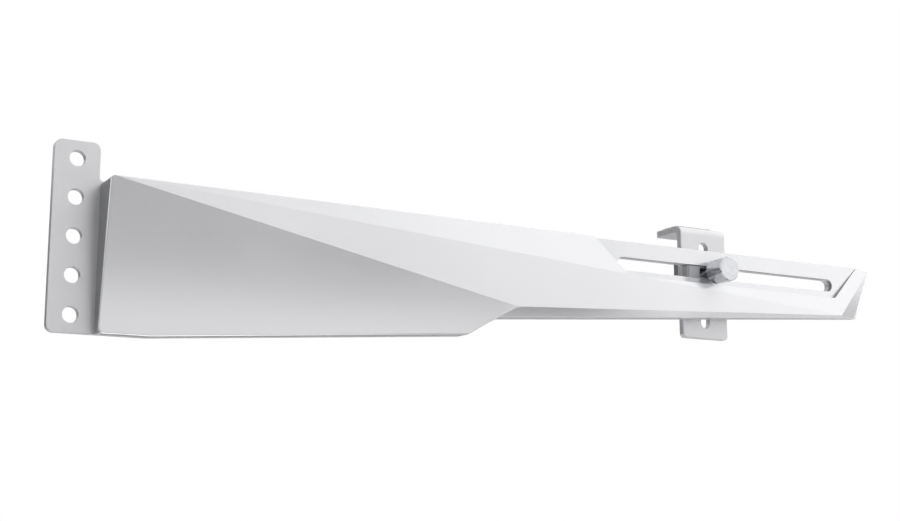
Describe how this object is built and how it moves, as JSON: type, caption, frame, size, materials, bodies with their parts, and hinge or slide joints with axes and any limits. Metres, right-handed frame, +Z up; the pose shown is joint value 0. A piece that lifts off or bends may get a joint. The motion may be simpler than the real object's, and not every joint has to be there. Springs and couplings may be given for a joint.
{
  "type": "graphics card support bracket",
  "caption": "Faceted support arm for a graphics card: a drilled mounting plate, a tapering arm with a long clamp slot, and a folded shelf of adjustable height held by a fluted thumbscrew.",
  "frame": {"origin": "centre of the middle screw hole, on the mounting plate's back face", "axes": "+X along the arm to its tip, +Y to the back, +Z up"},
  "size_m": [0.285, 0.0264, 0.05],
  "materials": {
    "coated_steel": "satin white powder coat",
    "cover_plastic": "satin white moulding",
    "plated_steel": "bright zinc plate",
    "block_plastic": "fine matt moulding",
    "nut_steel": "plain steel",
    "pad_rubber": "matt black",
    "knob_aluminium": "turned and fluted"
  },
  "bodies": {
    "arm": {"mount_bracket": "coated_steel", "front_cover": "cover_plastic", "cover_screws": "plated_steel"},
    "carriage": {"slide_block": "block_plastic", "clamp_nut": "nut_steel"},
    "support": {"support_bracket": "coated_steel", "support_pad": "pad_rubber"},
    "washer": {"clamp_washer": "plated_steel"},
    "thumbscrew": {"thumbscrew_knob": "knob_aluminium", "thumbscrew_stud": "plated_steel"}
  },
  "joints": [
    {"name": "carriage_slide", "type": "slide", "parent": "arm", "child": "carriage", "axis": [1, 0, 0], "range_m": [-0.026, 0.042]},
    {"name": "support_lift", "type": "slide", "parent": "carriage", "child": "support", "axis": [0, 0, 1], "range_m": [-0.007, 0.014]},
    {"name": "screw_advance", "type": "slide", "parent": "carriage", "child": "washer", "axis": [0, 1, 0], "range_m": [-0.001, 0.00175]},
    {"name": "thumbscrew_turn", "type": "hinge", "parent": "washer", "child": "thumbscrew", "pos_m": [0.2077, -0.0093, 0.00788], "axis": [0, 1, 0], "range_deg": [-721, 1261]}
  ],
  "couplings": [
    {"joint": "thumbscrew_turn", "follows": "screw_advance", "rad_per_m": 12566}
  ]
}
